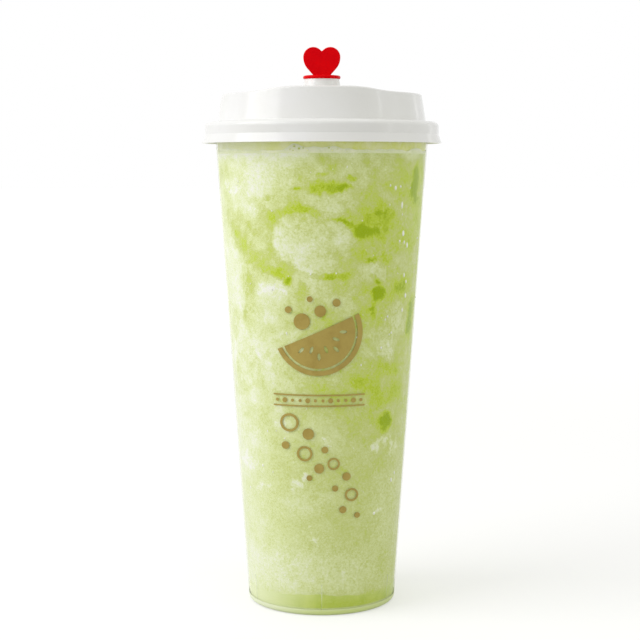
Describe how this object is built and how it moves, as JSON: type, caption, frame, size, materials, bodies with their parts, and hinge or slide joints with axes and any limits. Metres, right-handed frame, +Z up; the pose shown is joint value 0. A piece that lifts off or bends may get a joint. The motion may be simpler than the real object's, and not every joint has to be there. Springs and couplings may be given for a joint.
{
  "type": "honeydew smoothie in a lidded cup",
  "caption": "Pale green honeydew smoothie in a tall frosted takeaway cup, under a white raised lid whose sip hole is closed by a red heart-shaped plug.",
  "frame": {"origin": "centre of the cup's base, on the surface that it stands on", "axes": "+Z up along the cup's axis, -Y towards the front, where the plug and the print are"},
  "size_m": [0.0956, 0.0956, 0.2204],
  "materials": {
    "cup": "satin",
    "lid": "gloss",
    "heart_plug": "gloss",
    "settled_juice": "gloss",
    "smoothie": "satin",
    "froth": "matte"
  },
  "bodies": {
    "root": {"cup": "cup", "settled_juice": "settled_juice", "smoothie": "smoothie", "froth": "froth", "lid": "lid", "heart_plug": "heart_plug"}
  },
  "joints": []
}
